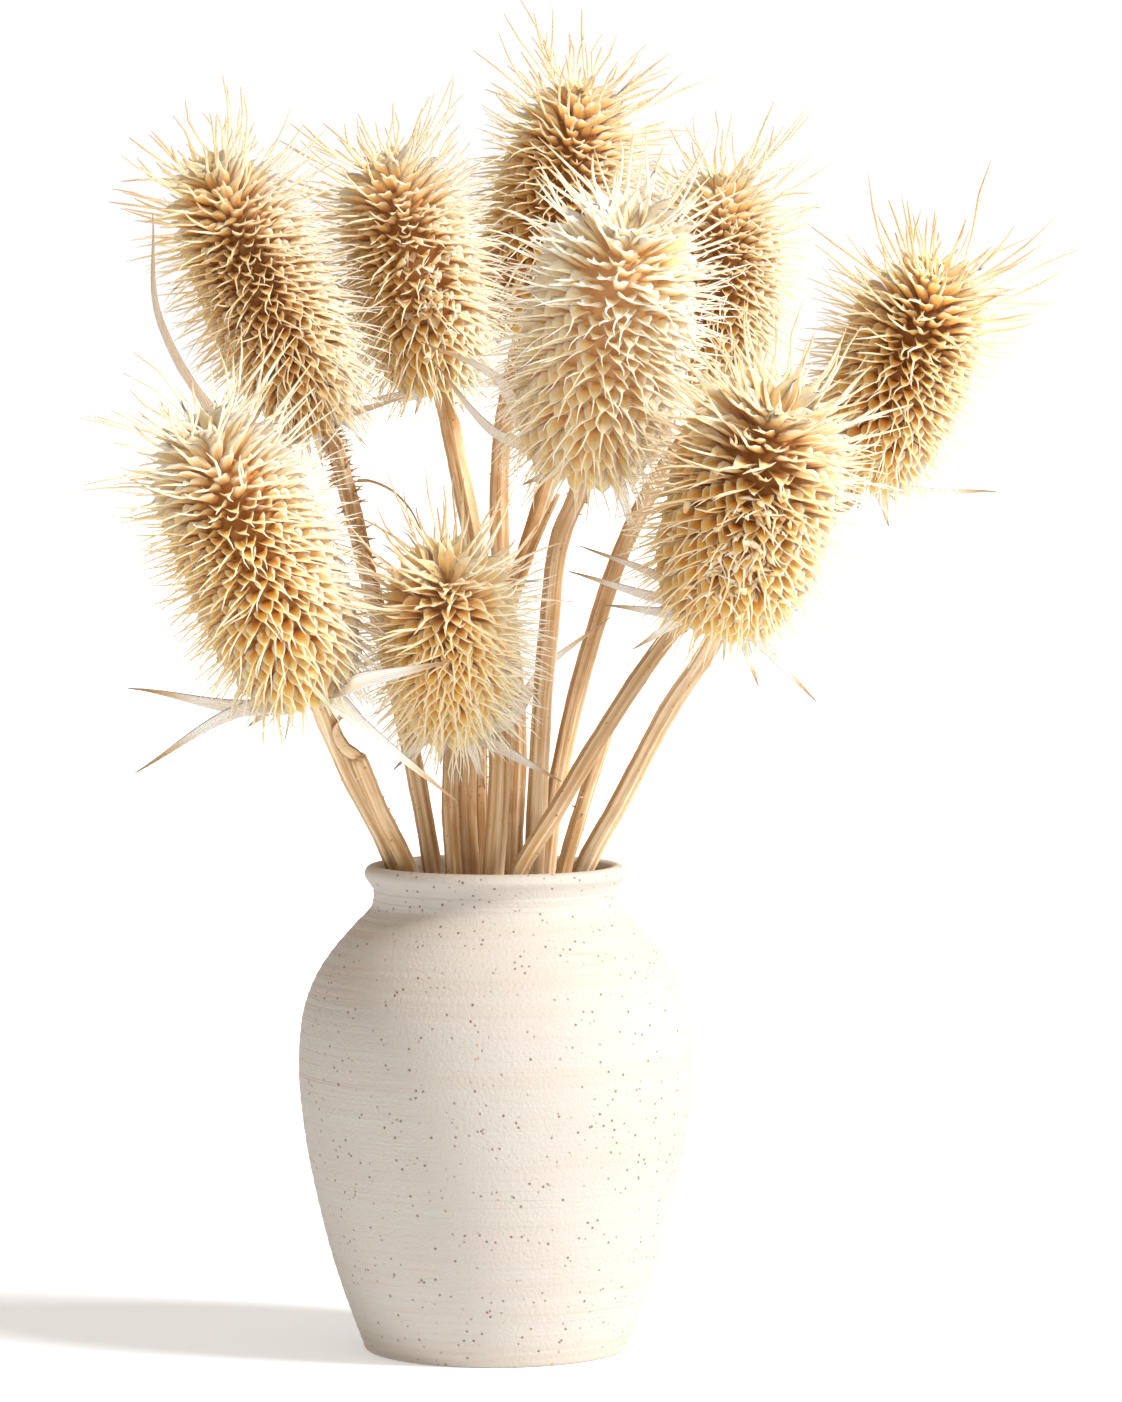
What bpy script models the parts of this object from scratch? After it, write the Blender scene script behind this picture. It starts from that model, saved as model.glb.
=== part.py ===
"""Nine dried teasels and four bare stems standing in a stoneware vase.

Metres, +Z up. The origin is the middle of the vase's flat foot, and -Y is the front.
Layout points are written in millimetres and scaled by MM.
"""
import math
import random

import bmesh
import bpy
from mathutils import Matrix, Vector
from mathutils.geometry import interpolate_bezier

MM = 0.001
GAP = 0.3

# Vase: heights and outer radii from the neck down to the foot
VASE_OUTLINE = (
    (133.0, 35.1), (129.0, 35.4), (122.5, 40.8), (115.5, 46.8), (108.5, 51.4), (100.0, 54.8),
    (84.0, 56.7), (64.0, 55.2), (43.0, 51.2), (22.0, 45.6), (8.0, 40.6), (2.3, 38.4),
)
VASE_HEIGHT = 140.0
LIP_RADIUS = 2.5
LIP_CENTRE_RADIUS = 35.2
FOOT_RADIUS = 36.6
WALL = 3.6
FLOOR_THICKNESS = 6.0
VASE_SIDES = 32

# Stems: every foot is the stem's place at the mouth, turned and drawn in about the vase's axis
FOOT_TURN = math.radians(-70)
FOOT_DRAW_IN = 0.85
FOOT_CLEARANCE = 1.5
STRAIGHT_SHARE = 0.72
STEM_SIDES_STEP = 1
NECK_LENGTH = 12.0

# Involucre: the collar under a head, and the long bracts that stand out of it
COLLAR_LENGTH = 5.0
COLLAR_TOP_RADIUS = 5.6
COLLAR_SIDES = 9
BRACT_WIDTH = 5.4
BRACT_THICKNESS = 0.8
BRACT_TIP_WIDTH = 0.7
BRACT_STATIONS = 5

# Seed head: rings of points around the core, whose diamond cells are each drawn out to a spine
CELLS_AROUND = 14
RINGS = 19
HEAD_BASE_RADIUS = 4.8
HEAD_TOP_RADIUS = 2.6
CROWN_SHARE = 0.72
SEED = 11

# Each teasel: foot of the head, tip of its core, core radius, spine and crown lengths, the stem's
# diameter and its points from the mouth up, and the points and tip of each long bract
TEASELS = (
    dict(
        base=(-51, 12, 270), crown=(-79, -7, 335), radius=15.5, spine=9.5, crown_spine=22, stem=6.0,
        route=((-18, 3, 138), (-23, 5, 166), (-37, 8, 224), (-43.5, 11, 250)),
        bracts=(
            ((-77, -8, 268), (-95, -14, 296), (-96, -30, 326)),
            ((-74, 4, 260), (-90, -2, 284)),
            ((-26, 5, 274),),
            ((-44, 32, 268),),
        ),
    ),
    dict(
        base=(-17, 33, 281), crown=(-30, 19, 337), radius=15.5, spine=9.5, crown_spine=24, stem=6.8,
        route=((-0.5, -13, 138), (1, 1, 178), (-2, 10, 202), (-5, 18, 224), (-11, 29, 254)),
        bracts=(((-38, 22, 273),), ((4, 26, 277),), ((-14, 56, 279),)),
    ),
    dict(
        base=(9, 60, 297), crown=(25, 47, 358), radius=15.5, spine=9.5, crown_spine=26, stem=6.4,
        route=((5, 14, 138), (6, 26, 178), (4, 34, 202), (1, 43, 230), (2, 55, 265)),
        bracts=(((-12, 56, 294),), ((28, 70, 292),), ((6, 84, 300),)),
    ),
    dict(
        base=(26, -20, 259), crown=(37, -52, 318), radius=20, spine=11, crown_spine=22, stem=6.4,
        route=((10.8, -3, 138), (15, -6, 206), (19, -9.5, 236)),
        bracts=(
            ((1, -4, 263), (-18, -10, 285)),
            ((8, 2, 266), (1, -6, 279), (-21, -12, 290)),
            ((40, -15, 233),),
            ((8, -34, 250),),
            ((38, 2, 252),),
        ),
    ),
    dict(
        base=(64, 50, 281), crown=(67, 45, 333), radius=14.5, spine=9.5, crown_spine=25, stem=5.8,
        route=((14.6, 8, 138), (20, 18, 173), (29, 28, 207), (38, 36, 232), (53, 46, 258)),
        bracts=(((42, 46, 279),), ((86, 54, 280),), ((62, 74, 283),)),
    ),
    dict(
        base=(106, 10, 255), crown=(125, -12, 304), radius=16, spine=10, crown_spine=29, stem=5.4,
        route=(
            (5.9, -25, 138), (18, -22, 158), (30, -19, 178), (51, -12, 208), (66, -5, 224),
            (84, 5, 236),
        ),
        bracts=(((144, 5, 247),), ((113, 5, 237),), ((98, 34, 254),)),
    ),
    dict(
        base=(65, -38, 218), crown=(77, -73, 268), radius=19.5, spine=11.5, crown_spine=25, stem=6.2,
        route=((24.7, -12, 138), (35.5, -17, 161), (47, -23, 186)),
        bracts=(
            ((46, -43, 224), (24, -40, 233)),
            ((21, -45, 226),),
            ((31, -56, 217),),
            ((39, -40, 204),),
            ((74, -48, 194),),
            ((90, -53, 190),),
            ((86, -20, 214),),
        ),
    ),
    dict(
        base=(-52, -36, 195), crown=(-78.5, -58, 261), radius=18, spine=10, crown_spine=27, stem=6.6,
        route=((-28.3, 3, 138), (-41, -17, 167)),
        bracts=(
            ((-103, -40, 193),),
            ((-69, -40, 187), (-101, -38, 169)),
            ((-38, -53, 184), (-10, -66, 163)),
            ((-34, -68, 197), (-11, -82, 203)),
            ((-70, -22, 181),),
            ((-58, -14, 190),),
        ),
    ),
    dict(
        base=(-12.5, -6, 185), crown=(-12.5, -48, 223), radius=15, spine=10, crown_spine=28, stem=5.4,
        route=((-11.8, -9, 138), (-13, -3, 158)),
        bracts=(
            ((0, -7, 180), (14, 2, 196), (33, 2, 211)),
            ((4, -17, 173), (19, -31, 166)),
            ((-3, -4, 162),),
            ((-29, -12, 168),),
        ),
    ),
)

# Bare stems: diameter, the points from the mouth up, and any side branch as diameter and points
BARE_STEMS = (
    dict(
        stem=5.6, route=((-24.5, -10, 138), (-33, -23, 158), (-38.5, -32, 173)),
        branch=(3.4, ((-38, -32, 171), (-42, -33, 177), (-43.5, -34, 182), (-40, -35, 185))),
    ),
    dict(
        stem=6.0, route=((-7.5, 6, 138), (-8, 14, 171), (-2, 20, 198), (7, 24, 224), (18, 30, 259)),
        branch=(3.0, ((5, 23, 217), (11, 17, 231), (18, 15, 246))),
    ),
    dict(stem=5.2, route=((-4.3, 17, 138), (-5, 25, 171), (-5, 29, 188)), branch=None),
    dict(stem=5.0, route=((19.5, -1, 138), (25, 0, 157), (32, 2, 179)), branch=None),
)

# Finishes: colour and roughness
CLAY = ("stoneware", (0.76, 0.68, 0.59), 0.75)
STALK = ("dry_stalk", (0.66, 0.49, 0.28), 0.7)
PALE_BRACT = ("pale_bract", (0.78, 0.66, 0.46), 0.65)
STRAW = ("spiny_straw", (0.80, 0.63, 0.36), 0.7)


def clear_scene():
    for item in list(bpy.data.objects):
        bpy.data.objects.remove(item, do_unlink=True)


def new_collection(name):
    group = bpy.data.collections.new(name)
    bpy.context.scene.collection.children.link(group)
    return group


def finish(item, look):
    """Gives an object its own material: a Principled surface of one colour and roughness."""
    kind, colour, roughness = look
    material = bpy.data.materials.new(f"{item.name}_{kind}")
    material.use_nodes = True
    shader = material.node_tree.nodes["Principled BSDF"]
    shader.inputs["Base Color"].default_value = (*colour, 1.0)
    shader.inputs["Roughness"].default_value = roughness
    shader.inputs["Metallic"].default_value = 0.0
    item.data.materials.clear()
    item.data.materials.append(material)


def object_of(name, mesh, group):
    item = bpy.data.objects.new(name, mesh)
    group.objects.link(item)
    return item


def smooth_route(points, steps):
    """Points along one smooth curve through the given ones, evenly many between each pair."""
    places = [Vector(point) for point in points]
    spans = [(b - a).length for a, b in zip(places, places[1:])]
    chords = [(b - a) / span for a, b, span in zip(places, places[1:], spans)]
    slopes = [chords[0]]
    for before, after, far, near in zip(chords, chords[1:], spans[1:], spans):
        slopes.append((before * far + after * near) / (far + near))
    slopes.append(chords[-1])
    route = []
    for i, span in enumerate(spans):
        leaving = places[i] + slopes[i] * span / 3
        arriving = places[i + 1] - slopes[i + 1] * span / 3
        route += interpolate_bezier(places[i], leaving, arriving, places[i + 1], steps + 1)[:-1]
    return [*route, places[-1]]


def turned_mesh(name, profile, sides, group):
    """A profile of (radius, height) points in millimetres, turned about +Z."""
    mesh = bpy.data.meshes.new(name)
    mesh.from_pydata([(r * MM, 0, z * MM) for r, z in profile],
                     [(i, i + 1) for i in range(len(profile) - 1)], [])
    item = object_of(name, mesh, group)
    screw = item.modifiers.new("turn", "SCREW")
    screw.axis = "Z"
    screw.steps = sides
    screw.render_steps = sides
    screw.use_merge_vertices = True
    screw.merge_threshold = 0.00001
    return item


def make_vase(group):
    """The vase: a rolled lip, an outline drawn down to the foot, and a wall of even thickness."""
    lip_height = VASE_HEIGHT - LIP_RADIUS
    lip = [
        (LIP_CENTRE_RADIUS + LIP_RADIUS * math.cos(angle), lip_height + LIP_RADIUS * math.sin(angle))
        for angle in (math.radians(90 - 30 * step) for step in range(5))
    ]
    inner_lip = [(2 * LIP_CENTRE_RADIUS - r, z) for r, z in lip[1:4]]
    outer = [(p.y, p.x) for p in smooth_route([(*point, 0) for point in VASE_OUTLINE], 1)]
    inner = [(r - WALL, z) for r, z in outer if z > FLOOR_THICKNESS + 1]
    profile = (
        [(0.0, FLOOR_THICKNESS), (inner[-1][0] - 3, FLOOR_THICKNESS)]
        + inner[::-1] + inner_lip[::-1] + lip + outer + [(FOOT_RADIUS, 0.0), (0.0, 0.0)]
    )
    vase = turned_mesh("vase", profile, VASE_SIDES, group)
    vase.data.shade_smooth()
    finish(vase, CLAY)


def inside_route(mouth):
    """A stem's foot on the vase's floor and a point on the straight way from it to the mouth.

    The foot is the stem's place at the mouth, turned and drawn in about the vase's axis, which
    keeps every pair of stems apart all the way down.
    """
    x, y, _ = mouth
    cosine, sine = math.cos(FOOT_TURN), math.sin(FOOT_TURN)
    foot = Vector((
        FOOT_DRAW_IN * (x * cosine - y * sine),
        FOOT_DRAW_IN * (x * sine + y * cosine),
        FLOOR_THICKNESS + FOOT_CLEARANCE,
    ))
    return [foot, foot.lerp(Vector(mouth), STRAIGHT_SHARE)]


def tube(name, points, diameter, taper, group):
    """A round stalk along a curve, thinner at its far end by the share taper."""
    curve = bpy.data.curves.new(name, "CURVE")
    curve.dimensions = "3D"
    curve.bevel_depth = diameter / 2 * MM
    curve.bevel_resolution = STEM_SIDES_STEP
    curve.use_fill_caps = True
    spline = curve.splines.new("POLY")
    spline.points.add(len(points) - 1)
    for i, place in enumerate(points):
        spline.points[i].co = (*(place * MM), 1.0)
        spline.points[i].radius = 1 - taper * i / (len(points) - 1)
    item = object_of(name, curve, group)
    return item


def as_mesh(item, group):
    """The same object as a welded mesh."""
    seen = item.evaluated_get(bpy.context.evaluated_depsgraph_get())
    mesh = bpy.data.meshes.new_from_object(seen)
    work = bmesh.new()
    work.from_mesh(mesh)
    bmesh.ops.remove_doubles(work, verts=work.verts, dist=0.00001)
    bmesh.ops.recalc_face_normals(work, faces=work.faces)
    work.to_mesh(mesh)
    work.free()
    name = item.name
    place = item.matrix_world.copy()
    bpy.data.objects.remove(item)
    solid = object_of(name, mesh, group)
    solid.matrix_world = place
    return solid


def fuse(item, repeats):
    """Joins a collection of closed pieces to an object with one Boolean union, and removes them."""
    union = item.modifiers.new("fuse", "BOOLEAN")
    union.operation = "UNION"
    union.operand_type = "COLLECTION"
    union.collection = repeats
    union.solver = "EXACT"
    seen = item.evaluated_get(bpy.context.evaluated_depsgraph_get())
    joined = bpy.data.meshes.new_from_object(seen)
    item.modifiers.remove(union)
    old = item.data
    item.data = joined
    joined.name = item.name
    bpy.data.meshes.remove(old)
    for piece in list(repeats.objects):
        bpy.data.objects.remove(piece, do_unlink=True)
    bpy.data.collections.remove(repeats)


def axis_of(teasel):
    return (Vector(teasel["crown"]) - Vector(teasel["base"])).normalized()


def make_stem(name, teasel, group):
    """A stalk from the vase floor through the mouth to just under the collar of its head."""
    axis = axis_of(teasel)
    top = Vector(teasel["base"]) - axis * (COLLAR_LENGTH + 2 * GAP)
    neck = Vector(teasel["base"]) - axis * NECK_LENGTH
    mouth = teasel["route"][0]
    points = smooth_route([*inside_route(mouth), *teasel["route"], neck], 3)
    stem = as_mesh(tube(name, [*points, top], teasel["stem"], 0.12, group), group)
    stem.data.shade_smooth()
    finish(stem, STALK)


def make_bare_stem(name, bare, group):
    """A stalk that has lost its head, with its side branch fused on."""
    points = smooth_route([*inside_route(bare["route"][0]), *bare["route"]], 3)
    stem = as_mesh(tube(name, points, bare["stem"], 0.12, group), group)
    if bare["branch"]:
        repeats = new_collection(name + "_branch")
        diameter, places = bare["branch"]
        as_mesh(tube(name + "_fork", smooth_route(places, 3), diameter, 0.5, repeats), repeats)
        fuse(stem, repeats)
    stem.data.shade_smooth()
    finish(stem, STALK)


def bract_mesh(name, points, side):
    """One long flat bract: a strip of even thickness that narrows to its tip."""
    route = smooth_route(points, BRACT_STATIONS - 1 if len(points) == 2 else 2)
    work = bmesh.new()
    rows = []
    for i, place in enumerate(route):
        along = (route[min(i + 1, len(route) - 1)] - route[max(i - 1, 0)]).normalized()
        across = (side - along * side.dot(along)).normalized()
        out = along.cross(across)
        share = i / (len(route) - 1)
        half = (BRACT_WIDTH * (1 - share) ** 0.7 + BRACT_TIP_WIDTH) / 2
        thick = BRACT_THICKNESS / 2
        corners = ((-half, -thick), (half, -thick), (half, thick), (-half, thick))
        rows.append([work.verts.new((place + across * u + out * v) * MM) for u, v in corners])
    for low, high in zip(rows, rows[1:]):
        for k in range(4):
            work.faces.new((low[k], low[(k + 1) % 4], high[(k + 1) % 4], high[k]))
    work.faces.new(rows[0][::-1])
    work.faces.new(rows[-1])
    bmesh.ops.recalc_face_normals(work, faces=work.faces)
    mesh = bpy.data.meshes.new(name)
    work.to_mesh(mesh)
    work.free()
    return mesh


def make_involucre(name, teasel, group):
    """The collar under a head, with its long bracts fused to it."""
    axis = axis_of(teasel)
    base = Vector(teasel["base"])
    middle = base - axis * (GAP + COLLAR_LENGTH / 2)
    work = bmesh.new()
    bmesh.ops.create_cone(
        work, cap_ends=True, segments=COLLAR_SIDES, radius1=(teasel["stem"] / 2 + 0.4) * MM,
        radius2=COLLAR_TOP_RADIUS * MM, depth=COLLAR_LENGTH * MM,
    )
    turn = axis.to_track_quat("Z", "Y").to_matrix().to_4x4()
    bmesh.ops.transform(work, matrix=Matrix.Translation(middle * MM) @ turn, verts=work.verts)
    mesh = bpy.data.meshes.new(name)
    work.to_mesh(mesh)
    work.free()
    collar = object_of(name, mesh, group)
    repeats = new_collection(name + "_bracts")
    for i, places in enumerate(teasel["bracts"]):
        toward = Vector(places[0]) - middle
        outward = (toward - axis * toward.dot(axis)).normalized()
        root = middle + outward * 1.5
        edge = middle + outward * (COLLAR_TOP_RADIUS + 1.5) - axis * 0.8
        side = axis.cross(outward)
        mesh = bract_mesh(f"{name}_bract_{i}", [root, edge, *places], side)
        object_of(mesh.name, mesh, repeats)
    fuse(collar, repeats)
    finish(collar, PALE_BRACT)


def core_rings(length, radius):
    """Radius and height of every ring of an egg-shaped core, evenly spaced along its outline."""
    fine = 200
    outline = []
    for i in range(fine + 1):
        height = i / fine
        belly = 1 - abs(2 * height - 0.94) ** 2.6 if height < 0.97 else 0
        outline.append((radius * max(belly, 0) ** 0.5, height * length))
    outline = [
        (max(r, HEAD_BASE_RADIUS if z < length / 2 else HEAD_TOP_RADIUS), z) for r, z in outline
    ]
    travelled = [0.0]
    for (r0, z0), (r1, z1) in zip(outline, outline[1:]):
        travelled.append(travelled[-1] + math.hypot(r1 - r0, z1 - z0))
    rings = []
    for i in range(RINGS):
        goal = travelled[-1] * i / (RINGS - 1)
        k = next(k for k, far in enumerate(travelled) if far >= goal - 1e-9)
        rings.append(outline[k])
    return rings


def spine_reach(height, teasel):
    """How long a spine is, and how far it leans up the head, by its height as a share."""
    if height > CROWN_SHARE:
        share = (height - CROWN_SHARE) / (1 - CROWN_SHARE)
        reach = teasel["spine"] + (teasel["crown_spine"] - teasel["spine"]) * share
        return reach, 0.45 + 0.9 * share
    if height < 0.2:
        share = height / 0.2
        return teasel["spine"] * (0.62 + 0.38 * share), -0.25 + 0.45 * share
    return teasel["spine"], 0.2 + 0.25 * (height - 0.2) / (CROWN_SHARE - 0.2)


def make_head(name, teasel, group, rng):
    """A seed head: diamond cells all over an egg-shaped core, each drawn out to a spine."""
    base, crown = Vector(teasel["base"]), Vector(teasel["crown"])
    length = (crown - base).length
    rings = core_rings(length, teasel["radius"])
    work = bmesh.new()
    rows = []
    for i, (radius, height) in enumerate(rings):
        start = 0.5 * (i % 2)
        turns = [math.tau * (j + start) / CELLS_AROUND for j in range(CELLS_AROUND)]
        rows.append([
            work.verts.new((radius * math.cos(turn), radius * math.sin(turn), height))
            for turn in turns
        ])
    cells = []
    for i in range(RINGS - 2):
        low, wide, high = rows[i:i + 3]
        for j in range(CELLS_AROUND):
            if i % 2 == 0:
                left, right = wide[j - 1], wide[j]
            else:
                left, right = wide[j], wide[(j + 1) % CELLS_AROUND]
            cells.append(work.faces.new((low[j], right, high[j], left)))
    for j in range(CELLS_AROUND):
        after = (j + 1) % CELLS_AROUND
        work.faces.new((rows[0][j], rows[0][after], rows[1][j]))
        work.faces.new((rows[-1][after], rows[-1][j], rows[-2][j]))
    work.faces.new(rows[0][::-1])
    tuft = work.faces.new(rows[-1])
    for cell in cells:
        middle = cell.calc_center_median()
        outward = Vector((middle.x, middle.y, 0)).normalized()
        reach, lift = spine_reach(middle.z / length, teasel)
        lean = outward + Vector((0, 0, lift)) + Vector([rng.uniform(-0.07, 0.07) for _ in range(3)])
        poked = bmesh.ops.poke(work, faces=[cell])
        poked["verts"][0].co = middle + lean.normalized() * reach * rng.uniform(0.86, 1.08)
    poked = bmesh.ops.poke(work, faces=[tuft])
    poked["verts"][0].co.z += teasel["crown_spine"] * 0.9
    bmesh.ops.triangulate(work, faces=work.faces)
    bmesh.ops.recalc_face_normals(work, faces=work.faces)
    bmesh.ops.scale(work, vec=(MM, MM, MM), verts=work.verts)
    mesh = bpy.data.meshes.new(name)
    work.to_mesh(mesh)
    work.free()
    head = object_of(name, mesh, group)
    head.location = base * MM
    head.rotation_mode = "QUATERNION"
    head.rotation_quaternion = (crown - base).to_track_quat("Z", "Y")
    finish(head, STRAW)


def main():
    clear_scene()
    rng = random.Random(SEED)
    group = new_collection("teasels_in_vase")
    make_vase(group)
    for number, teasel in enumerate(TEASELS, 1):
        make_stem(f"stem_{number}", teasel, group)
        make_involucre(f"involucre_{number}", teasel, group)
        make_head(f"seed_head_{number}", teasel, group, rng)
    for number, bare in enumerate(BARE_STEMS, 1):
        make_bare_stem(f"bare_stem_{number}", bare, group)


main()
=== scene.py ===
"""Looks of nine dried teasels and four bare stalks in a stoneware vase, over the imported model."""
import math
import random

import bpy
import numpy as np
from bpy.props import FloatProperty, FloatVectorProperty, IntProperty, PointerProperty
from mathutils import Matrix, Vector
from mathutils.geometry import interpolate_bezier


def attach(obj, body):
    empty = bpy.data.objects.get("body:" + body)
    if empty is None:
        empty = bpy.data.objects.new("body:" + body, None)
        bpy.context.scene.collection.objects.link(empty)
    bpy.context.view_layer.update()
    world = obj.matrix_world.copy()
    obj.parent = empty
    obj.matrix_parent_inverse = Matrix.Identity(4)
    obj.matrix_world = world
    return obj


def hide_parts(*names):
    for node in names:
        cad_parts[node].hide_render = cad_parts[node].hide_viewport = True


bl_info = {
    "name": "Teasels in a stoneware vase",
    "version": (1, 0, 0),
    "blender": (4, 5, 0),
    "location": "3D View > Sidebar > Teasels",
    "description": "Dresses the packed teasels, stalks and vase with fine pieces and finishes",
    "category": "Add Mesh",
}

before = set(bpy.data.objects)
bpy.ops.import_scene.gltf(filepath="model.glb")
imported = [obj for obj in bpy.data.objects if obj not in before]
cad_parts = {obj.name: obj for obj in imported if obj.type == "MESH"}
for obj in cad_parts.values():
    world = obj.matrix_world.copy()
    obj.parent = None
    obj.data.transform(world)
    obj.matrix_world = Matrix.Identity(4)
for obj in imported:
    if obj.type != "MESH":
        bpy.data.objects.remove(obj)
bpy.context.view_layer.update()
MM = 0.001

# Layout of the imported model, in millimetres, as its own source has it
GAP = 0.3
COLLAR_LENGTH = 5.0
COLLAR_RADIUS = 5.6
NECK_LENGTH = 12.0
FOOT_TURN = math.radians(-70)
FOOT_DRAW_IN = 0.85
FOOT_HEIGHT = 7.5
STRAIGHT_SHARE = 0.72
VASE_OUTLINE = (
    (133.0, 35.1), (129.0, 35.4), (122.5, 40.8), (115.5, 46.8), (108.5, 51.4), (100.0, 54.8),
    (84.0, 56.7), (64.0, 55.2), (43.0, 51.2), (22.0, 45.6), (8.0, 40.6), (2.3, 38.4),
)
VASE_HEIGHT = 140.0
LIP_RADIUS = 2.5
LIP_CENTRE_RADIUS = 35.2
FOOT_RADIUS = 36.6
WALL = 3.6
FLOOR_THICKNESS = 6.0
FOOT_ROUNDING = 1.6

# Height in metres up to which the vase's clay gets warmer
WARM_FOOT = 0.012

# Each teasel's shape, in millimetres: foot and tip of its core, its stalk's points from the mouth
# up, and the points and tip of each long bract. The first has a twig on its stalk: a branch has its
# diameter, how much thinner it gets, the number of steps between its points, and its points.
TEASELS = (
    dict(
        base=(-51, 12, 270), crown=(-79, -7, 335),
        route=((-18, 3, 138), (-23, 5, 166), (-37, 8, 224), (-43.5, 11, 250)),
        branch=(
            1.1, 0.6, 6,
            ((-39.5, 9, 250), (-36, 5, 250), (-30, 3, 247.5), (-24.5, 2, 242), (-21, 2, 235))),
        bracts=(
            ((-77, -8, 268), (-95, -14, 296), (-96, -30, 326)), ((-74, 4, 260), (-90, -2, 284)),
            ((-26, 5, 274),), ((-44, 32, 268),),
        ),
    ),
    dict(
        base=(-17, 33, 281), crown=(-30, 19, 337),
        route=((-0.5, -13, 138), (1, 1, 178), (-2, 10, 202), (-5, 18, 224), (-11, 29, 254)),
        bracts=(((-38, 22, 273),), ((4, 26, 277),), ((-14, 56, 279),)),
    ),
    dict(
        base=(9, 60, 297), crown=(25, 47, 358),
        route=((5, 14, 138), (6, 26, 178), (4, 34, 202), (1, 43, 230), (2, 55, 265)),
        bracts=(((-12, 56, 294),), ((28, 70, 292),), ((6, 84, 300),)),
    ),
    dict(
        base=(26, -20, 259), crown=(37, -52, 318),
        route=((10.8, -3, 138), (15, -6, 206), (19, -9.5, 236)),
        bracts=(
            ((1, -4, 263), (-18, -10, 285)), ((8, 2, 266), (1, -6, 279), (-21, -12, 290)),
            ((40, -15, 233),), ((8, -34, 250),), ((38, 2, 252),),
        ),
    ),
    dict(
        base=(64, 50, 281), crown=(67, 45, 333),
        route=((14.6, 8, 138), (20, 18, 173), (29, 28, 207), (38, 36, 232), (53, 46, 258)),
        bracts=(((42, 46, 279),), ((86, 54, 280),), ((62, 74, 283),)),
    ),
    dict(
        base=(106, 10, 255), crown=(125, -12, 304),
        route=(
            (5.9, -25, 138), (18, -22, 158), (30, -19, 178), (51, -12, 208),
            (66, -5, 224), (84, 5, 236)),
        bracts=(((144, 5, 247),), ((113, 5, 237),), ((98, 34, 254),)),
    ),
    dict(
        base=(65, -38, 218), crown=(77, -73, 268),
        route=((24.7, -12, 138), (36.6, -17, 161), (49.4, -23, 186)),
        bracts=(
            ((46, -43, 224), (24, -40, 233)), ((21, -45, 226),), ((31, -56, 217),),
            ((39, -40, 204),), ((74, -48, 194),), ((90, -53, 190),), ((86, -20, 214),),
        ),
    ),
    dict(
        base=(-52, -36, 195), crown=(-78.5, -58, 261),
        route=((-28.3, 3, 138), (-41, -17, 167)),
        bracts=(
            ((-103, -40, 193),), ((-69, -40, 187), (-101, -38, 169)),
            ((-38, -53, 184), (-10, -66, 163)), ((-34, -68, 197), (-11, -82, 203)),
            ((-70, -22, 181),), ((-58, -14, 190),),
        ),
    ),
    dict(
        base=(-12.5, -6, 185), crown=(-12.5, -48, 223),
        route=((-11.8, -9, 138), (-13, -3, 158)),
        bracts=(
            ((0, -7, 180), (14, 2, 196), (33, 2, 211)), ((4, -17, 173), (19, -31, 166)),
            ((-3, -4, 162),), ((-29, -12, 168),),
        ),
    ),
)

# Each teasel's numbers: core radius, spine and crown lengths, stalk diameter, width of its long
# bracts, how pale the head and its crown are, how brown its bracts are, how many broken pieces sit
# in its worn patch, how much painted shade darkens its side away from the sun, its stalk's amber
# and grey shares, and the number and the smallest and largest size of the stalk's thorns
TEASEL_KEYS = (
    "radius", "spine", "crown_spine", "stem", "blade", "pale", "crown_pale", "brown", "chaff",
    "shade", "amber", "grey", "thorns",
)
TEASEL_NUMBERS = (
    (15.5, 9.5, 22, 6.0, 4.2, 0.0, 0.2, 0.4, 0, 0.0, 0.45, 0.35, (150, 2.2, 4.4)),
    (15.5, 9.5, 24, 6.8, 5.6, 0.05, 0.35, 0.05, 46, 0.1, 0.6, 0.05, (10, 0.9, 1.8)),
    (15.5, 9.5, 26, 6.4, 5.6, 0.0, 0.35, 0.05, 0, 0.1, 0.5, 0.1, (10, 0.9, 1.8)),
    (20, 11, 22, 6.4, 6.4, 0.6, 0.95, 0.0, 0, 0.45, 0.35, 0.1, (14, 0.9, 2.2)),
    (14.5, 9.5, 25, 5.8, 5.6, 0.05, 0.5, 0.1, 0, 0.1, 0.3, 0.1, (8, 0.9, 1.8)),
    (16, 10, 29, 5.4, 5.2, 0.0, 0.15, 0.0, 0, 0.25, 0.1, 0.75, (16, 0.9, 2.2)),
    (19.5, 11.5, 22, 6.2, 5.8, 0.0, 0.4, 0.1, 110, 0.5, 0.15, 0.05, (8, 0.9, 1.8)),
    (18, 10, 27, 6.6, 8.4, 0.0, 0.7, 0.0, 0, 0.4, 0.25, 0.1, (10, 0.9, 1.8)),
    (15, 10, 28, 5.4, 5.8, 0.1, 0.12, 0.0, 0, 0.3, 0.3, 0.2, (6, 0.9, 1.8)),
)
for shape, numbers in zip(TEASELS, TEASEL_NUMBERS):
    shape.update(zip(TEASEL_KEYS, numbers))

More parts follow.
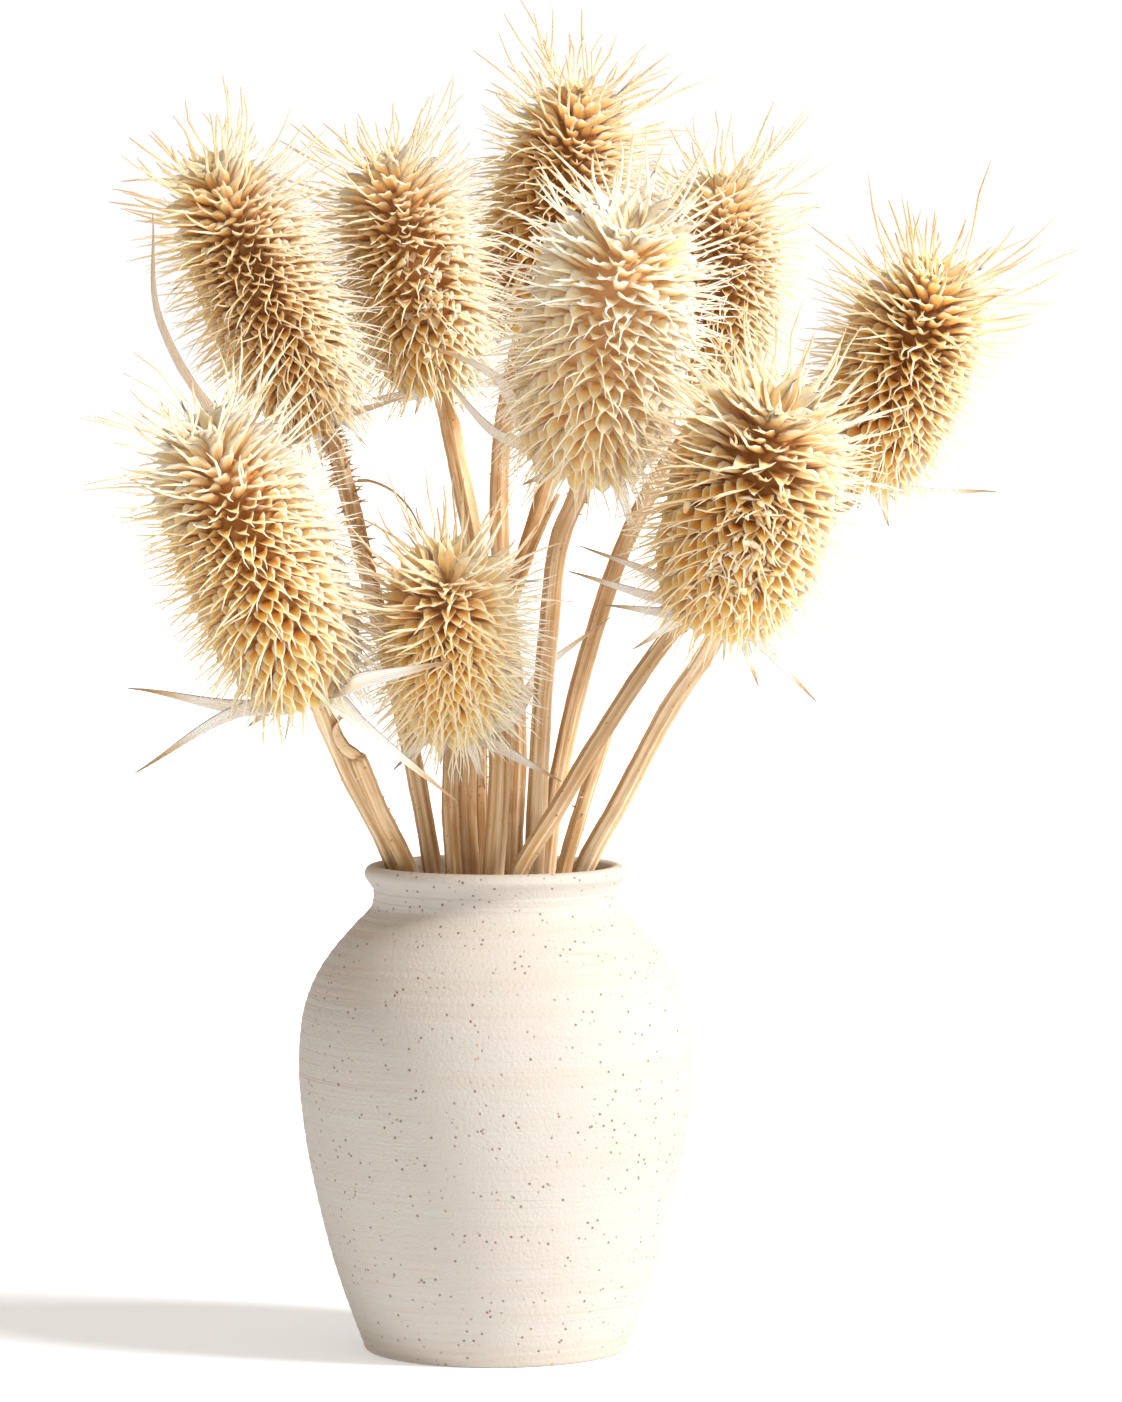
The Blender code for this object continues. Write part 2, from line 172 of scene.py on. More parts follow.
# Bare stalks: diameter, the points from the mouth up, their amber and grey shares, any branch, and
# the points of the leaf that curls round the top of the first. All have the same thorns.
BARE_STEMS = (
    dict(
        stem=5.6, route=((-24.5, -10, 138), (-33, -23, 158), (-38.5, -32, 173)), amber=0.3,
        grey=0.1,
        leaf=(
            (-35.5, -27, 170), (-38.5, -32, 173.5), (-42, -34, 176), (-44.2, -34, 180),
            (-43.4, -34, 184), (-40.5, -35, 185.5), (-39, -36, 183.5),
        ),
    ),
    dict(
        stem=6.0,
        route=((-7.5, 6, 138), (-8, 14, 171), (-2, 20, 198), (7, 24, 224), (18, 30, 259)),
        branch=(3.0, 0.5, 8, ((5, 23, 217), (11, 17, 231), (18, 15, 246))), amber=0.8, grey=0.3,
    ),
    dict(stem=5.2, route=((-4.3, 17, 138), (-5, 25, 171), (-5, 29, 188)), amber=0.9, grey=0.4),
    dict(stem=5.0, route=((19.5, -1, 138), (25, 0, 157), (32, 2, 179)), amber=0.5, grey=0.2),
)
for bare in BARE_STEMS:
    bare["thorns"] = (8, 0.9, 1.8)
LEAF_WIDTH = 4.2
LEAF_SIDE = Vector((0.2, 0.3, 1))

# One bract, root to tip: place along it, half width and half thickness. Places up to BOAT_END are
# the cupped boat, scaled by its width. The rest is the spine, scaled by the spine's own width.
BOAT_END = 0.5
BRACT_RINGS = (
    (0.0, 0.45, 0.24), (0.17, 0.82, 0.22), (0.33, 1.0, 0.18), (0.42, 0.84, 0.16),
    (0.465, 0.42, 0.2), (0.495, 0.16, 0.26), (0.64, 0.86, 0.86), (0.82, 0.62, 0.62),
    (1.0, 0.2, 0.2),
)
BOAT_THICKNESS = 0.0012

# Where a crown's bract is drawn in behind its spine, and over how much of its length
SHOULDER = 0.42
SHOULDER_SPREAD = 0.09

# Ways in which things face: the worn patches, the flat side of the long bracts, and the side of the
# heads that faces the sun, where painted light makes the bracts paler
WORN_SIDE = Vector((0.1, -1, 0.25)).normalized()
BLADE_FACE = Vector((0.2, -1, 0.4))
LIT_SIDE = Vector((1.1, -0.35, 0.5)).normalized()

# How far a bract rises from the square way out of its head, in degrees, at its root and its tip,
# by its place up the head
LIFTS = (
    (0.0, -48, -82), (0.1, -36, -66), (0.3, -12, -40), (0.5, 2, -24), (0.7, 10, -6),
    (0.85, 20, 20), (0.95, 36, 44), (1.0, 56, 68),
)

# The spiral of bracts: where the crown starts and the spiral ends, as shares of a head's height,
# how much wider apart the crown's bracts stand, and the steps that the outline is measured in
GOLDEN_ANGLE = math.pi * (3 - math.sqrt(5))
CROWN_START = 0.66
SPIRAL_END = 0.973
CROWN_LOOSENESS = 0.2
RIM_STEPS = 240

# The core: its top as a share of the head's height, how far it swells over the bracts' roots, and
# the place along a bract whose colour it has
CORE_END = 0.97
CORE_SWELL = 1.04
CORE_PLACE = 0.14

# The worn patch: its height and half height as shares of the head, and how squarely a bract has
# to face the worn side to be in it
WORN_HEIGHT = 0.48
WORN_SPREAD = 0.2
WORN_FACING = 0.72

# Long bracts: half thickness, hollow as a share of their half width, half width of their tips, how
# far from the axis they start, the points round a section as shares of its half width and half
# thickness, and the number of short torn ones on a collar
BLADE_THICKNESS = 0.16
BLADE_HOLLOW = 0.42
BLADE_TIP = 0.14
BLADE_ROOT = 1.5
BLADE_SECTION = ((-1, 0), (-0.5, 1), (0, 1), (0.5, 1), (1, 0), (0.5, -1), (0, -1), (-0.5, -1))
SHORT_BRACTS = 7

# Stalks: how much thinner they get, the steps between two of a route's points, where thorns begin
# as a share of the route, and how much the grain is stretched along them
STALK_TAPER = 0.12
ROUTE_STEPS = 8
THORNS_FROM = 0.52
BARE_THORNS_FROM = 0.6
FIBRE_STRETCH = 0.04

# Random draws of stalks, bare stalks and long bracts start at these seeds
STALK_SEED = 500
BARE_SEED = 700
BLADE_SEED = 900

# Camera and light
CAMERA_PLACE = Vector((0.0188, -1.835, 0.297))
CAMERA_AIM = Vector((0.0188, 0.0, 0.187))
CAMERA_LENS = 164.4
SENSOR_WIDTH = 36
KEY_WAY = Vector((-1, 0.42, -0.85))
KEY_SPREAD = math.radians(18)
FLOOR_WIDTH = 60
FLOOR_GLOW = 0.32

BLACK = (0.0, 0.0, 0.0)
WHITE = (1.0, 1.0, 1.0)


class VaseSizes(bpy.types.PropertyGroup):
    sides: IntProperty(
        name="Sides", description="Number of steps that the vase is spun in", default=144)
    ring_depth: FloatProperty(
        name="Ring depth", description="How far the throwing rings stand out of the wall",
        default=0.00007, unit="LENGTH")
    clay: FloatVectorProperty(
        name="Clay", description="Colour of the bare stoneware", subtype="COLOR",
        default=(0.49, 0.445, 0.398))
    warm_clay: FloatVectorProperty(
        name="Warm clay", description="Colour of the warmer bands and of the foot",
        subtype="COLOR", default=(0.46, 0.375, 0.295))
    speck: FloatVectorProperty(
        name="Specks", description="Colour of the iron specks", subtype="COLOR",
        default=(0.20, 0.10, 0.045))


class HeadSizes(bpy.types.PropertyGroup):
    cell: FloatProperty(
        name="Cell", description="Distance between two bracts' rims as a share of a head's radius",
        default=0.207, subtype="FACTOR")
    boat: FloatProperty(
        name="Boat length", description="Length of a bract's cup as a share of its head's radius",
        default=0.5, subtype="FACTOR")
    spine_width: FloatProperty(
        name="Spine width", description="Thickness of a spine where it leaves its bract",
        default=0.0006, unit="LENGTH")
    # Partly the bracts' own brown base and partly painted shade deep between the bracts.
    pit: FloatVectorProperty(
        name="Pits", description="Colour deep between the bracts", subtype="COLOR",
        default=(0.30, 0.10, 0.015))
    gold: FloatVectorProperty(
        name="Gold", description="Colour of the bracts' cups", subtype="COLOR",
        default=(0.98, 0.50, 0.12))
    straw: FloatVectorProperty(
        name="Straw", description="Colour of the bracts' shoulders", subtype="COLOR",
        default=(0.98, 0.65, 0.27))
    cream: FloatVectorProperty(
        name="Cream", description="Colour of the spines", subtype="COLOR",
        default=(0.98, 0.80, 0.55))
    tip: FloatVectorProperty(
        name="Tips", description="Colour of the spines' tips", subtype="COLOR",
        default=(0.36, 0.21, 0.10))
    seed: IntProperty(name="Seed", description="Seed of all random draws", default=7)


class StalkSizes(bpy.types.PropertyGroup):
    ridges: IntProperty(name="Ridges", description="Ridges round a stalk", default=7)
    ridge_depth: FloatProperty(
        name="Ridge depth", description="Height of a ridge as a share of the radius",
        default=0.13, subtype="FACTOR")
    straw: FloatVectorProperty(
        name="Straw", description="Colour of a dry stalk", subtype="COLOR",
        default=(0.80, 0.60, 0.38))
    amber: FloatVectorProperty(
        name="Amber", description="Colour of its warm streaks", subtype="COLOR",
        default=(0.76, 0.42, 0.13))
    grey: FloatVectorProperty(
        name="Weathered", description="Colour of its weathered stretches", subtype="COLOR",
        default=(0.52, 0.36, 0.20))
    # Also used for the painted shade in the furrows, and for the fine streaks.
    brown: FloatVectorProperty(
        name="Brown", description="Colour of its grooves", subtype="COLOR",
        default=(0.44, 0.24, 0.09))
    paper: FloatVectorProperty(
        name="Paper", description="Colour of the long bracts under a head",
        subtype="COLOR", default=(0.97, 0.94, 0.88))


class StageSizes(bpy.types.PropertyGroup):
    floor: FloatVectorProperty(
        name="Floor", description="Colour of the floor", subtype="COLOR",
        default=(0.91, 0.95, 0.99))
    key_strength: FloatProperty(
        name="Key light", description="Strength of the light from the right", default=5.0)
    surround_strength: FloatProperty(
        name="Surround", description="Strength of the soft light from all round", default=0.48)
    surround_tint: FloatVectorProperty(
        name="Surround tint", description="Colour of the soft light from all round",
        subtype="COLOR", default=(1.0, 0.90, 0.79))


# Helpers


def deselect():
    for item in bpy.context.selected_objects:
        item.select_set(False)


def only(item):
    """Makes one object the selected and active one."""
    deselect()
    item.select_set(True)
    bpy.context.view_layer.objects.active = item


def placed(name, data):
    """A new object at the origin for a mesh, a curve, a light or a camera."""
    item = bpy.data.objects.new(name, data)
    bpy.context.scene.collection.objects.link(item)
    return item


def object_from(name, points, faces, edges=()):
    """A mesh object at the origin, with its place in its mesh."""
    mesh = bpy.data.meshes.new(name)
    mesh.from_pydata(points, edges, faces)
    mesh.update()
    return placed(name, mesh)


def open_mesh(item):
    """Opens one object for editing, with its whole mesh selected."""
    only(item)
    bpy.ops.object.mode_set(mode="EDIT")
    bpy.ops.mesh.select_all(action="SELECT")


def close_mesh(merge=0.0):
    """Ends editing, with doubles merged and faces turned outwards."""
    bpy.ops.mesh.select_all(action="SELECT")
    if merge:
        bpy.ops.mesh.remove_doubles(threshold=merge)
    bpy.ops.mesh.normals_make_consistent(inside=False)
    bpy.ops.object.mode_set(mode="OBJECT")


def standing(place, axis):
    """The move that stands a mesh modelled along +Z at a place, along an axis."""
    return Matrix.Translation(place) @ axis.to_track_quat("Z", "Y").to_matrix().to_4x4()


def joined(name, items):
    """Several mesh objects made one."""
    only(items[0])
    for item in items:
        item.select_set(True)
    bpy.ops.object.join()
    items[0].name = name
    items[0].data.name = name
    return items[0]


def set_point_colour(item, name, values):
    """Writes one RGBA value for each vertex, or the same one for all of them."""
    layer = item.data.attributes.new(name, "FLOAT_COLOR", "POINT")
    rows = np.broadcast_to(np.asarray(values, np.float32), (len(item.data.vertices), 4))
    layer.data.foreach_set("color", rows.ravel())


def hand_over(item, material, node):
    """Gives a finished piece its material and its body, and hides the imported node that it stands
    for.
    """
    item.data.materials.clear()
    item.data.materials.append(material)
    for face in item.data.polygons:
        face.use_smooth = True
    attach(item, "root")
    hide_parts(node)


def smooth_route(points, steps):
    """Points along one smooth curve through the given ones, evenly many between each pair."""
    places = [Vector(point) for point in points]
    spans = [(b - a).length for a, b in zip(places, places[1:])]
    chords = [(b - a) / span for a, b, span in zip(places, places[1:], spans)]
    slopes = [chords[0]]
    for before, after, far, near in zip(chords, chords[1:], spans[1:], spans):
        slopes.append((before * far + after * near) / (far + near))
    slopes.append(chords[-1])
    route = []
    for i, span in enumerate(spans):
        leaving = places[i] + slopes[i] * span / 3
        arriving = places[i + 1] - slopes[i + 1] * span / 3
        route += interpolate_bezier(places[i], leaving, arriving, places[i + 1], steps + 1)[:-1]
    return [*route, places[-1]]


def axis_of(teasel):
    return (Vector(teasel["crown"]) - Vector(teasel["base"])).normalized()


# Materials


class Finish:
    """A node material under construction, with short calls for the nodes that recur."""

    def __init__(self, name, roughness):
        self.material = bpy.data.materials.new(name)
        self.material.use_nodes = True
        self.tree = self.material.node_tree
        self.shader = self.tree.nodes["Principled BSDF"]
        self.feed(self.shader, ("Roughness", roughness), ("Specular IOR Level", 0.3))

    def feed(self, node, *inputs):
        """Feeds sockets, given as (socket, value), from other nodes or with fixed values."""
        for key, value in inputs:
            socket = node.inputs[key]
            if isinstance(value, bpy.types.NodeSocket):
                self.tree.links.new(value, socket)
            else:
                socket.default_value = (*value, 1.0) if socket.type == "RGBA" else value

    def node(self, kind, *inputs, **settings):
        made = self.tree.nodes.new(kind)
        for key, value in settings.items():
            setattr(made, key, value)
        self.feed(made, *inputs)
        return made

    def object_space(self, stretch=(1, 1, 1)):
        place = self.node("ShaderNodeTexCoord").outputs["Object"]
        return self.node("ShaderNodeMapping", ("Vector", place), ("Scale", stretch)).outputs[0]

    def attribute(self, name):
        return self.node("ShaderNodeAttribute", attribute_name=name)

    def parts(self, source):
        """The red, green and blue of an attribute."""
        made = self.node("ShaderNodeSeparateColor", (0, source.outputs["Color"]))
        return made.outputs[0], made.outputs[1], made.outputs[2]

    def noise(self, vector, scale, detail=2.0, roughness=0.5):
        return self.node(
            "ShaderNodeTexNoise", ("Vector", vector), ("Scale", scale), ("Detail", detail),
            ("Roughness", roughness)).outputs["Fac"]

    def ramp(self, source, stops):
        """A colour ramp with (place, colour) stops."""
        made = self.node("ShaderNodeValToRGB", ("Fac", source))
        ramp = made.color_ramp
        while len(ramp.elements) < len(stops):
            ramp.elements.new(0.5)
        for element, (place, colour) in zip(ramp.elements, stops):
            element.position = place
            element.color = (*colour, 1.0)
        return made.outputs["Color"]

    def grey_ramp(self, source, low, high):
        """0 below low and 1 above high."""
        return self.ramp(source, ((low, BLACK), (high, WHITE)))

    def patches(self, vector, scale, detail, low, high, roughness=0.5):
        """Soft-edged patches of noise: 0 where it is below low and 1 where it is above high."""
        return self.grey_ramp(self.noise(vector, scale, detail, roughness), low, high)

    def mix(self, share, first, second, blend="MIX"):
        return self.node(
            "ShaderNodeMix", (0, share), (6, first), (7, second), data_type="RGBA",
            blend_type=blend).outputs[2]

    def maths(self, operation, first, second=0.0):
        return self.node("ShaderNodeMath", (0, first), (1, second), operation=operation).outputs[0]

    def times(self, first, second):
        return self.maths("MULTIPLY", first, second)

    def tinted(self, colour, *layers):
        """A colour with tints laid over it, each as mask, strength and tint."""
        for mask, strength, tint in layers:
            colour = self.mix(self.times(mask, strength), colour, tint)
        return colour

    def coat(self, colour):
        self.feed(self.shader, ("Base Color", colour))

    def painted_glow(self, colour, strength):
        """Painted light: a faint glow of its own, as if light came through, which falls on nothing
        else.
        """
        self.feed(self.shader, ("Emission Color", colour), ("Emission Strength", strength))
        self.material.cycles.emission_sampling = "NONE"

    def bump(self, height, distance):
        made = self.node(
            "ShaderNodeBump", ("Height", height), ("Distance", distance), ("Strength", 1.0))
        self.feed(self.shader, ("Normal", made.outputs["Normal"]))

    def speckle(self, vector, scale, inner, outer, where):
        """Round specks of one size, kept only where a mask lets them through."""
        cells = self.node("ShaderNodeTexVoronoi", ("Vector", vector), ("Scale", scale))
        near = self.ramp(cells.outputs["Distance"], ((inner, WHITE), (outer, BLACK)))
        return self.times(near, where)

    def glow_through(self, depth):
        """Lets light sink in and come out of the far side of a thin sheet."""
        self.shader.subsurface_method = "RANDOM_WALK"
        self.feed(
            self.shader, ("Subsurface Weight", 1.0), ("Subsurface Radius", (1.0, 0.85, 0.7)),
            ("Subsurface Scale", depth))


def stoneware_finish(sizes):
    """Matte cream clay: thin tan throwing lines, faint warm bands, iron specks and fine grit."""
    finish = Finish("speckled_stoneware", 0.72)
    place = finish.object_space()
    bands = finish.patches(finish.object_space((4, 4, 90)), 1.6, 4.0, 0.45, 0.72, roughness=0.6)
    level = finish.noise(finish.object_space((1.2, 1.2, 190)), 1.0, 1.0, 0.4)
    off_line = finish.maths("ABSOLUTE", finish.maths("SUBTRACT", level, 0.5))
    lines = finish.ramp(off_line, ((0.001, WHITE), (0.007, BLACK)))
    lines = finish.times(lines, finish.patches(place, 34.0, 2.0, 0.47, 0.66))
    height = finish.node("ShaderNodeSeparateXYZ", (0, place)).outputs["Z"]
    low = finish.node(
        "ShaderNodeMapRange", ("Value", height), ("From Min", WARM_FOOT), ("From Max", 0.0))
    where = finish.patches(place, 210.0, 1.0, 0.47, 0.56)
    specks = finish.speckle(place, 430.0, 0.07, 0.23, where)
    where = finish.patches(place, 70.0, 1.0, 0.5, 0.56)
    spots = finish.speckle(place, 150.0, 0.03, 0.085, where)
    finish.coat(finish.tinted(
        sizes.clay,
        (bands, 0.4, sizes.warm_clay),
        (finish.noise(place, 24.0, 3.0), 0.2, (0.80, 0.74, 0.67)),
        (lines, 0.4, (0.52, 0.35, 0.23)),
        (low.outputs[0], 0.5, sizes.warm_clay),
        (specks, 0.9, sizes.speck),
        (spots, 0.8, (0.40, 0.22, 0.10)),
    ))
    rings = finish.noise(finish.object_space((6, 6, 420)), 1.5, 5.0, 0.65)
    grit = finish.noise(place, 1000.0, 3.0)
    relief = finish.times(finish.maths("ADD", rings, grit), 0.45)
    for pit, depth in ((specks, 0.5), (lines, 0.12)):
        relief = finish.maths("SUBTRACT", relief, finish.times(pit, depth))
    finish.bump(relief, 0.0005)
    return finish.material


def bract_finish(sizes):
    """Golden cups with a painted glow deep inside, rims made pale by a painted highlight, cream
    spines with brown tips.
    """
    finish = Finish("spiny_bracts", 0.55)
    tint = finish.attribute("bract_tint")
    along, tone, pale = finish.parts(tint)
    # Painted highlight: the boats' rim edges are painted pale cream.
    rim_highlight = finish.times(finish.grey_ramp(tint.outputs["Alpha"], 0.5, 0.95), 0.75)
    rim_highlight = finish.times(rim_highlight, finish.grey_ramp(along, 0.12, 0.3))
    # Its darkest stop, at the bracts' roots, is partly their own brown and partly painted shade in
    # the pits.
    dry = finish.ramp(along, (
        (0.06, sizes.pit), (0.27, sizes.gold), (0.42, sizes.straw), (0.55, sizes.cream),
        (0.64, (0.95, 0.75, 0.49)), (0.79, (0.64, 0.43, 0.25)), (0.98, sizes.tip),
    ))
    bleached_and_lit = finish.ramp(along, (
        (0.0, (0.72, 0.42, 0.17)), (0.2, (0.98, 0.75, 0.44)), (0.45, (0.99, 0.88, 0.68)),
        (0.72, (0.97, 0.85, 0.66)), (0.9, (0.64, 0.45, 0.28)), (1.0, (0.42, 0.26, 0.14)),
    ))
    fibres = finish.noise(finish.object_space(), 420.0, 2.0)
    # The tone channel holds each bract's own brown, its wear, and the painted shade on its head's
    # side away from the sun.
    colour = finish.tinted(dry, (tone, 0.75, (0.38, 0.165, 0.045)))
    colour = finish.mix(rim_highlight, colour, (0.99, 0.82, 0.52))
    # The pale channel holds the bracts' own bleaching and also the painted light on the heads'
    # sunny side.
    colour = finish.mix(pale, colour, bleached_and_lit)
    threads = finish.grey_ramp(fibres, 0.48, 0.75)
    colour = finish.tinted(colour, (threads, 0.25, (0.58, 0.36, 0.15)))
    finish.coat(colour)
    # Painted light: the cups glow deep between the bracts, less where the tone is brown, and pale
    # bracts glow faintly.
    deep = finish.ramp(along, ((0.1, WHITE), (0.42, BLACK)))
    deep = finish.times(deep, finish.maths("SUBTRACT", 1.0, tone))
    painted_glow = finish.maths("ADD", finish.times(deep, 0.13), finish.times(pale, 0.02))
    finish.painted_glow(finish.mix(1.0, colour, finish.mix(painted_glow, BLACK, WHITE), "MULTIPLY"), 1.0)
    finish.bump(fibres, 0.00012)
    finish.glow_through(0.0016)
    return finish.material


def stalk_finish(sizes):
    """Dry stalk: painted highlights on its ridges, painted brown shade in its furrows, amber and
    grey streaks along it, dark specks.
    """
    finish = Finish("dry_stalk", 0.5)
    grain = finish.attribute("grain").outputs["Vector"]
    crest, amber, grey = finish.parts(finish.attribute("stalk_tint"))
    place = finish.object_space()
    broad = finish.noise(grain, 300.0, 3.0, 0.6)
    fine = finish.noise(grain, 1100.0, 3.0, 0.65)
    stained = finish.maths("ADD", finish.times(amber, 0.7), 0.25)
    # Painted shade: the furrows between the ridges are darkened brown, in patches along the grain.
    groove_shade = finish.ramp(crest, ((0.05, WHITE), (0.5, BLACK)))
    stains = finish.patches(place, 60.0, 3.0, 0.5, 0.63, roughness=0.6)
    spotted = finish.maths("ADD", finish.times(grey, 0.8), 0.25)
    specks = finish.speckle(place, 520.0, 0.08, 0.24, spotted)
    finish.coat(finish.tinted(
        finish.mix(grey, sizes.straw, sizes.grey),
        (amber, finish.grey_ramp(broad, 0.36, 0.6), sizes.amber),
        (finish.times(stained, stains), 0.8, (0.46, 0.20, 0.05)),
        (finish.times(groove_shade, finish.grey_ramp(broad, 0.38, 0.62)), 0.9, sizes.brown),
        # Painted highlight: the ridges' crests are painted pale cream.
        (finish.grey_ramp(crest, 0.7, 1.0), 0.65, (0.97, 0.87, 0.69)),
        (finish.patches(grain, 620.0, 2.0, 0.48, 0.6), 0.72, (0.50, 0.26, 0.08)),
        (finish.grey_ramp(fine, 0.5, 0.68), 0.45, sizes.brown),
        (specks, finish.patches(place, 160.0, 1.0, 0.48, 0.56), (0.12, 0.05, 0.015)),
    ))
    finish.bump(finish.maths("ADD", fine, finish.times(broad, 0.8)), 0.0004)
    return finish.material


def paper_finish(sizes):
    """Bleached bract: white between fine brown veins, tan at its root and brown at its tip, with a
    faint painted glow.
    """
    finish = Finish("papery_bract", 0.5)
    along, across, dark = finish.parts(finish.attribute("blade_place"))
    veins = finish.maths("SINE", finish.times(across, 44.0))
    grain = finish.noise(finish.attribute("grain").outputs["Vector"], 900.0, 3.0, 0.6)
    colour = finish.ramp(along, (
        (0.05, (0.62, 0.46, 0.28)), (0.3, sizes.paper), (0.8, sizes.paper),
        (0.9, (0.62, 0.46, 0.30)), (1.0, (0.26, 0.15, 0.08)),
    ))
    colour = finish.tinted(
        finish.mix(dark, colour, (0.50, 0.37, 0.24)),
        (finish.grey_ramp(veins, 0.3, 1.0), 0.3, (0.62, 0.48, 0.32)),
        (finish.grey_ramp(grain, 0.52, 0.7), 0.35, (0.60, 0.46, 0.31)),
    )
    finish.coat(colour)
    # Painted light: a faint glow keeps the long bracts white where the heads shade them.
    finish.painted_glow(colour, 0.12)
    finish.bump(finish.maths("ADD", grain, finish.times(veins, 0.3)), 0.00025)
    finish.glow_through(0.0006)
    return finish.material


# Vase


def vase_outline(ring_depth):
    """Radius and height round the vase's wall, from the inside floor over the lip to the foot."""
    coarse = [(*point, 0) for point in VASE_OUTLINE]
    outside = [(p.y, p.x) for p in smooth_route(coarse, 12)]
    outside = [
        (r + ring_depth / MM * (math.sin(z * 2.1) + 0.6 * math.sin(z * 4.7 + 1.3)), z)
        for r, z in outside
    ]
    lip_height = VASE_HEIGHT - LIP_RADIUS
    lip = [
        (LIP_CENTRE_RADIUS + LIP_RADIUS * math.cos(turn), lip_height + LIP_RADIUS * math.sin(turn))
        for turn in (math.radians(200 - 12 * step) for step in range(20))
    ]
    plain = [(p.y, p.x) for p in smooth_route(coarse, 4)]
    inside = [(r - WALL, z) for r, z in plain if FLOOR_THICKNESS + 1 < z < lip_height - 2][::-1]
    rounded_foot = [
        (FOOT_RADIUS + FOOT_ROUNDING * math.sin(turn), FOOT_ROUNDING * (1 - math.cos(turn)))
        for turn in map(math.radians, (75, 50, 25, 0))
    ]
    floor = [(0.0, FLOOR_THICKNESS), (inside[0][0] - 3, FLOOR_THICKNESS)]
    return floor + inside + lip + outside + rounded_foot + [(0.0, 0.0)]


def make_vase(sizes):
    """Spins the outline into the vase."""
    points = [(r * MM, 0, z * MM) for r, z in vase_outline(sizes.ring_depth)]
    edges = [(i, i + 1) for i in range(len(points) - 1)]
    vase = object_from("stoneware_vase", points, [], edges)
    open_mesh(vase)
    bpy.ops.mesh.spin(
        steps=sizes.sides, angle=math.tau, center=(0, 0, 0), axis=(0, 0, 1), use_auto_merge=True)
    close_mesh(merge=0.00001)
    hand_over(vase, stoneware_finish(sizes), "vase")


# Heads


def bract_pattern():
    """One bract, extruded along +Z from a ring of six: x across, y through, z root to tip."""
    deselect()
    bpy.ops.mesh.primitive_circle_add(vertices=6, radius=1, fill_type="NGON")
    pattern = bpy.context.object
    open_mesh(pattern)
    bpy.ops.transform.rotate(value=math.pi / 6, orient_axis="Z", center_override=(0, 0, 0))
    _, wide, thick = BRACT_RINGS[0]
    bpy.ops.transform.resize(value=(wide, thick, 1))
    for before, after in zip(BRACT_RINGS, BRACT_RINGS[1:]):
        bpy.ops.mesh.extrude_region_move(
            TRANSFORM_OT_translate={"value": (0, 0, after[0] - before[0])})
        bpy.ops.transform.resize(value=(after[1] / before[1], after[2] / before[2], 1))
    close_mesh()
    points = np.array([vertex.co for vertex in pattern.data.vertices])
    faces = [tuple(face.vertices) for face in pattern.data.polygons]
    bpy.data.objects.remove(pattern)
    return points, faces


def unit(vectors):
    return vectors / np.linalg.norm(vectors, axis=-1, keepdims=True)


def place_bracts(points, bracts):
    """Vertices and tints of many bracts, each a bent copy of the pattern's points.

    A bract has its root, the ways out of and up the head, the lengths and widths of its boat and
    spine, the depth of its cup, its lift at root and tip, its sway and wave to the side, how much
    it narrows behind its spine, its tone and paleness, and how far its spine is browned.
    """
    def column(key):
        return np.array([bract[key] for bract in bracts])[:, None]

    across, through, along = points[:, 0], points[:, 1], points[:, 2]
    in_boat = along < BOAT_END
    up_spine = (along - BOAT_END) / (1 - BOAT_END)
    root, out, up = column("root"), column("out"), column("up")
    boat, spine, spine_width = column("boat"), column("spine"), column("spine_width")
    lift = column("lift")
    length = boat + spine
    share = np.where(in_boat, boat * along / BOAT_END, boat + spine * up_spine) / length
    turn = column("tip_lift") - lift
    turn = np.where(np.abs(turn) < 0.01, 0.01, turn)
    angle = lift + turn * share
    outward = length * (np.sin(angle) - np.sin(lift)) / turn
    upward = length * (np.cos(lift) - np.cos(angle)) / turn
    shoulder = np.exp(-((along - SHOULDER) / SHOULDER_SPREAD) ** 2)
    boat_width = column("width") * (1 - column("taper") * shoulder)
    wide = across * np.where(in_boat, boat_width, spine_width) / 2
    wide = wide + length * (column("sway") * share ** 2 + column("wave") * np.sin(share * 5.5))
    thick = through * np.where(in_boat, BOAT_THICKNESS, spine_width / 2)
    above = thick + np.where(in_boat, column("cup") * across ** 2, 0)
    shown = (
        root + out * (outward - above * np.sin(angle))[..., None]
        + up * (upward + above * np.cos(angle))[..., None]
        + unit(np.cross(out, up)) * wide[..., None]
    )
    place = np.where(in_boat, along, BOAT_END + (along - BOAT_END) * column("aged"))
    # The boats' rim edges, where the painted highlight goes.
    rim_highlight = np.where(in_boat & (np.abs(through) < 0.01), 1.0, 0.0)
    tints = np.broadcast_arrays(place, column("tone"), column("pale"), rim_highlight)
    return shown.reshape(-1, 3), np.stack(tints, axis=-1).reshape(-1, 4)


def core_radius(share, radius):
    """Radius of a head's hidden core at a share of its height."""
    belly = 1 - abs(2 * share - 0.94) ** 2.6
    return radius * max(belly, 0.02) ** 0.5


